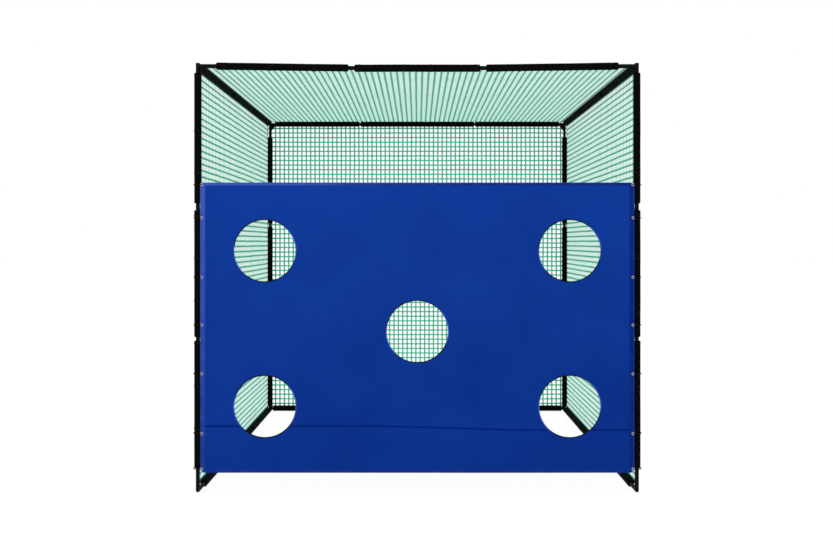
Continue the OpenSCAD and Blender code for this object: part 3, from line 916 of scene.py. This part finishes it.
def hem_outline(width, in_way, edge_point):
    """The outline of a turned hem, wrapped over the cloth's edge, in front of and behind it."""
    front = [edge_point + in_way * width * s - Y * h for s, h in HEM_SECTION]
    back = [edge_point + in_way * width * s + Y * (SHEET_T + h * HEM_BACK_SHARE)
            for s, h in reversed(HEM_SECTION)]
    return front + back


def make_hem(name, node, start, end, in_way, width, pieces):
    """A turned hem. Its crease_shade attribute marks the inner half, where the hem is pulled in and
    takes painted shade.
    """
    bm = bmesh.new()
    outline = closed_outline(bm, hem_outline(width, in_way, start))
    sweep(bm, outline, (end - start) / pieces, pieces)
    close_ends(bm)
    crease_shade = bm.verts.layers.float.new("crease_shade")
    if node in CREASE_SHADED_HEMS:
        for vert in bm.verts:
            inset = (vert.co - start).dot(in_way) / width
            along = smooth((vert.co.x - CREASE_SHADE_START) / CREASE_SHADE_GROWTH)
            vert[crease_shade] = along * smooth((inset - CREASE_SHADE_INSET) / CREASE_SHADE_RISE)
    lay_on_cloth(bm)
    return piece(bm, name, HEM, [node], sharp=50)


def make_hems():
    low, high = SHEET_BASE + CORNER_CUT, SHEET_TOP - CORNER_CUT
    made = []
    for side, sign in SIDES.items():
        start, end = (Vector((sign * SHEET_EDGE, SHEET_FRONT, z)) for z in (low, high))
        made.append(make_hem(f"sheet_hem_{side}", f"hem_{side}", start, end, X * -sign, SIDE_HEM,
                             SIDE_HEM_PIECES))
    reach = SHEET_EDGE - CORNER_CUT
    for side, z, in_way in (("bottom", SHEET_BASE, Z), ("top", SHEET_TOP, -Z)):
        start, end = (Vector((x, SHEET_FRONT, z)) for x in (-reach, reach))
        made.append(make_hem(f"sheet_hem_{side}", f"hem_{side}", start, end, in_way, EDGE_HEM,
                             EDGE_HEM_PIECES))
    return made


# the way out from a hole's middle to where its tape's painted highlight is brightest, as it is
# opposite
HIGHLIGHT_SIDE = math.radians(15)


def make_hole_bindings():
    bm = bmesh.new()
    for centre in HOLES:
        middle = Vector((centre.x, SHEET_FRONT, centre.z))
        outline = closed_outline(bm, hem_outline(TAPE_W, X, middle + X * HOLE_R))
        bmesh.ops.spin(bm, geom=outline, cent=middle, axis=Y, angle=2 * math.pi,
                       steps=HOLE_SIDES, use_merge=True)
    bmesh.ops.recalc_face_normals(bm, faces=bm.faces)
    # painted light round each hole: highlights on two opposite sides, shade between them
    wear_and_highlight = bm.verts.layers.float.new("wear_and_highlight")
    for vert in bm.verts:
        hole = min(HOLES, key=lambda h: (h - vert.co).length)
        angle = math.atan2(vert.co.z - hole.z, vert.co.x - hole.x)
        vert[wear_and_highlight] = 0.5 + 0.5 * math.cos(2 * (angle - HIGHLIGHT_SIDE))
    lay_on_cloth(bm)
    return piece(bm, "hole_bindings", BINDING, ["hole_tapes"], sharp=50)


SEAM_LEFT_Z, SEAM_RIGHT_Z = 467, 441
SEAM_FALL_START, SEAM_FALL_LENGTH = -350, 1200
SEAM_W, SEAM_T = 13, 0.8
SEAM_SECTION = [
    # (share of the seam's width above its middle, share of its thickness in front of the cloth)
    (-0.5, -0.2), (-0.4, 0.6), (0.0, 1.0), (0.4, 0.6), (0.5, -0.2),
]


def seam_z(x):
    """The height of the seam at x: level at both ends, with an eased fall between."""
    fall = smooth((x - SEAM_FALL_START) / SEAM_FALL_LENGTH)
    return SEAM_LEFT_Z + (SEAM_RIGHT_Z - SEAM_LEFT_Z) * fall


def seam_stretches():
    """The stretches of the seam between the hems and the bound edges of the lower holes."""
    stops = [-SHEET_EDGE + SIDE_HEM]
    for centre in sorted((h for h in HOLES if h.z - HOLE_R < SEAM_LEFT_Z), key=lambda h: h.x):
        rise = centre.z - seam_z(centre.x)
        reach = math.sqrt((HOLE_R + TAPE_W) ** 2 - rise ** 2)
        stops += [centre.x - reach, centre.x + reach]
    stops.append(SHEET_EDGE - SIDE_HEM)
    return list(zip(stops[::2], stops[1::2]))


# a low strip along the seam line, whose dark blue is painted shade: the shade along a fold in the
# cloth
def make_seam():
    bm = bmesh.new()
    for left, right in seam_stretches():
        start = Vector((left, SHEET_FRONT, 0))
        section = [start + Z * SEAM_W * s - Y * SEAM_T * h for s, h in SEAM_SECTION]
        pieces = max(2, round((right - left) / CLOTH_GRID))
        sweep(bm, closed_outline(bm, section), X * (right - left) / pieces, pieces)
    close_ends(bm)
    for vert in bm.verts:
        vert.co.z += seam_z(vert.co.x)
    lay_on_cloth(bm)
    return piece(bm, "sheet_seam", CREASE_SHADE_CLOTH)


# ---- stitching ----

STITCH_L, STITCH_D = 5, 1.1
STITCH_PITCH = 8
# where the stitches lie: in from a side hem's and an edge hem's own edge, as shares of its width,
# and out from a hole's edge, with their heights in front of the cloth
SIDE_STITCH, EDGE_STITCH, HEM_STITCH_OUT = 0.78, 0.8, 1.0
TAPE_STITCH, TAPE_STITCH_OUT = 5.5, 1.4


def stitch(way):
    """One stitch at the origin, lying along way."""
    bm = bmesh.new()
    side = way.cross(Y)
    half_axes = (way * STITCH_L / 2, Y * STITCH_D / 2, side * STITCH_D / 2)
    axes = Matrix(half_axes).transposed().to_4x4()
    bmesh.ops.create_icosphere(bm, subdivisions=1, radius=1, matrix=axes)
    return unit_mesh(bm)


def stitch_row(bm, start, end, height):
    """A row of stitches from start to end, at a height in front of the cloth."""
    way = (end - start).normalized()
    unit = stitch(way)
    for k in range(1, int((end - start).length / STITCH_PITCH)):
        stamp(bm, unit, Matrix.Translation(start + way * STITCH_PITCH * k - Y * height))


def make_stitching():
    bm = bmesh.new()
    low, high = SHEET_BASE + CORNER_CUT, SHEET_TOP - CORNER_CUT
    for sign in SIDES.values():
        x = sign * (SHEET_EDGE - SIDE_STITCH * SIDE_HEM)
        stitch_row(bm, *(Vector((x, SHEET_FRONT, z)) for z in (low, high)), HEM_STITCH_OUT)
    reach = SHEET_EDGE - SIDE_HEM
    for edge_z, sign in ((SHEET_BASE, 1), (SHEET_TOP, -1)):
        z = edge_z + sign * EDGE_STITCH * EDGE_HEM
        stitch_row(bm, *(Vector((x, SHEET_FRONT, z)) for x in (-reach, reach)), HEM_STITCH_OUT)
    ring_r = HOLE_R + TAPE_STITCH
    around = round(2 * math.pi * ring_r / STITCH_PITCH)
    unit = stitch(Z)
    out = Matrix.Translation(X * ring_r - Y * TAPE_STITCH_OUT)
    for centre in HOLES:
        middle = Matrix.Translation((centre.x, SHEET_FRONT, centre.z))
        for k in range(around):
            stamp(bm, unit, middle @ Matrix.Rotation(2 * math.pi * k / around, 4, "Y") @ out)
    bmesh.ops.recalc_face_normals(bm, faces=bm.faces)
    lay_on_cloth(bm)
    return piece(bm, "sheet_stitching", THREAD)


def make_seam_stitching():
    bm = bmesh.new()
    for left, right in seam_stretches():
        stitch_row(bm, Vector((left, SHEET_FRONT, 0)), Vector((right, SHEET_FRONT, 0)), SEAM_T)
    for vert in bm.verts:
        vert.co.z += seam_z(vert.co.x)
    bmesh.ops.recalc_face_normals(bm, faces=bm.faces)
    lay_on_cloth(bm)
    return piece(bm, "seam_stitching", NAVY_THREAD)


# ---- eyelets and ties ----

EYELET_SECTION = [
    # (radius, height in front of the cloth's middle): rolled front flange, barrel, back washer
    (5.0, 2.2), (5.4, 3.1), (6.4, 3.7), (7.8, 3.8), (9.2, 3.3), (9.9, 2.2), (8.6, 2.4), (6.0, 1.6),
    (6.0, -1.4), (8.8, -1.6), (9.7, -2.0), (9.0, -2.7), (7.0, -3.0), (5.4, -2.6), (5.0, -1.8),
]
EYELET_SIDES = 32
TIE_R = 3
TIE_BEND = 3.5
TIE_BACK_STEPS, TIE_FRONT_STEPS, TIE_BEND_STEPS = 20, 10, 5
tie_low, tie_high = box_mm("sheet_ties")
TIE_OUT = tie_high.x - HALF_W - TIE_R
TIE_FRONT = -(tie_low.y + HALF_D) - TIE_R


def make_eyelets():
    bm = bmesh.new()
    middle_y = (SHEET_FRONT + SHEET_BACK) / 2
    for centre in EYELETS:
        middle = Vector((centre.x, middle_y, centre.z))
        section = [middle + X * r - Y * f for r, f in EYELET_SECTION]
        bmesh.ops.spin(bm, geom=closed_outline(bm, section), cent=middle, axis=Y,
                       angle=2 * math.pi, steps=EYELET_SIDES, use_merge=True)
    bmesh.ops.recalc_face_normals(bm, faces=bm.faces)
    return piece(bm, "sheet_eyelets", NICKEL, ["eyelets"], sharp=60)


def arc(centre, radius, start, end, steps):
    """Points on a circle in a plane, from one angle to another in degrees."""
    angles = [math.radians(start + (end - start) * k / steps) for k in range(steps + 1)]
    return [(centre[0] + radius * math.cos(a), centre[1] + radius * math.sin(a)) for a in angles]


def tie_line(centre):
    """The closed line of an elastic tie: behind the sheet from the eyelet to the outside of the
    upright, round its foam to the front, and back across the sheet's edge into the eyelet."""
    sign = 1 if centre.x > 0 else -1
    inward = HALF_W - abs(centre.x)
    behind_r = (inward + TIE_OUT) / 2
    line = arc((behind_r - TIE_OUT, 0), behind_r, 0, 180, TIE_BACK_STEPS)
    line += arc((TIE_FRONT - TIE_OUT, 0), TIE_FRONT, 180, 270, TIE_FRONT_STEPS)[1:]
    line += arc((inward - TIE_BEND, TIE_BEND - TIE_FRONT), TIE_BEND, -90, 0, TIE_BEND_STEPS)
    return [Vector((sign * (HALF_W - u), v - HALF_D, centre.z)) for u, v in line]


def make_ties():
    curve = bpy.data.curves.new("tie_lines", "CURVE")
    curve.dimensions = "3D"
    curve.bevel_depth = TIE_R * MM
    curve.bevel_resolution = 2
    for centre in EYELETS:
        points = tie_line(centre)
        spline = curve.splines.new("POLY")
        spline.points.add(len(points) - 1)
        spline.use_cyclic_u = True
        for point, co in zip(spline.points, points):
            point.co = (*(co * MM), 1)
    holder = bpy.data.objects.new("tie_lines", curve)
    mesh = bpy.data.meshes.new_from_object(holder)
    bpy.data.objects.remove(holder)
    bm = bmesh.new()
    bm.from_mesh(mesh)
    bmesh.ops.scale(bm, vec=(1 / MM, 1 / MM, 1 / MM), verts=bm.verts)
    bmesh.ops.recalc_face_normals(bm, faces=bm.faces)
    return piece(bm, "elastic_ties", ELASTIC, ["sheet_ties"])


# ---- floor and light ----

# in metres, as the light's place and size are
FLOOR_REACH = 60
LIGHT_AIM = Vector((0, 0, 1.4))
# in millimetres, just clear of what stands on it
FLOOR_DROP = 0.5


def add_stage():
    bm = bmesh.new()
    bmesh.ops.create_grid(bm, x_segments=1, y_segments=1, size=FLOOR_REACH)
    mesh = bpy.data.meshes.new("floor")
    bm.to_mesh(mesh)
    bm.free()
    paint, tree, shader, place = surface("pale_floor", Roughness=0.9, Specular_IOR_Level=0.0,
                                         Emission_Color=(1, 1, 1, 1), Emission_Strength=0.93)
    cloud = add(tree, "TexNoise", {"Vector": place, "Scale": per_mm(2500)})
    colour = add(tree, "Mix", {MIX_BY: cloud.outputs["Fac"], AT_0: linear("#565656"),
                               AT_1: linear("#5c5c5c")}, data_type="RGBA").outputs[MIXED]
    fill(tree, shader, {"Base Color": colour})
    mesh.materials.append(paint)
    floor = bpy.data.objects.new("floor", mesh)
    floor.location.z = -FLOOR_DROP * MM
    bpy.context.scene.collection.objects.link(floor)


def add_light(name, place, size, watts):
    data = bpy.data.lights.new(name, "AREA")
    data.size = size
    data.energy = watts
    light = bpy.data.objects.new(name, data)
    light.location = place
    light.rotation_euler = (LIGHT_AIM - Vector(place)).to_track_quat("-Z", "Y").to_euler()
    bpy.context.scene.collection.objects.link(light)


def add_studio():
    world = bpy.data.worlds.new("white_studio")
    world.use_nodes = True
    backdrop = world.node_tree.nodes["Background"]
    backdrop.inputs["Color"].default_value = (1, 1, 1, 1)
    backdrop.inputs["Strength"].default_value = 1.0
    bpy.context.scene.world = world
    add_light("key_light", place=(-7, -9, 8), size=5, watts=200)


make_sleeves()
make_nets()
make_edge_ropes()
make_all_straps()
sheet = make_sheet()
sheet_parts = [*make_hems(), make_hole_bindings(), make_seam(), make_stitching(),
               make_seam_stitching(), make_eyelets()]
make_ties()
for name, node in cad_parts.items():
    if name.startswith(("poles_", "corner_", "elbow_")):
        node.data.materials.clear()
        node.data.materials.append(STEEL)
add_stage()
add_studio()
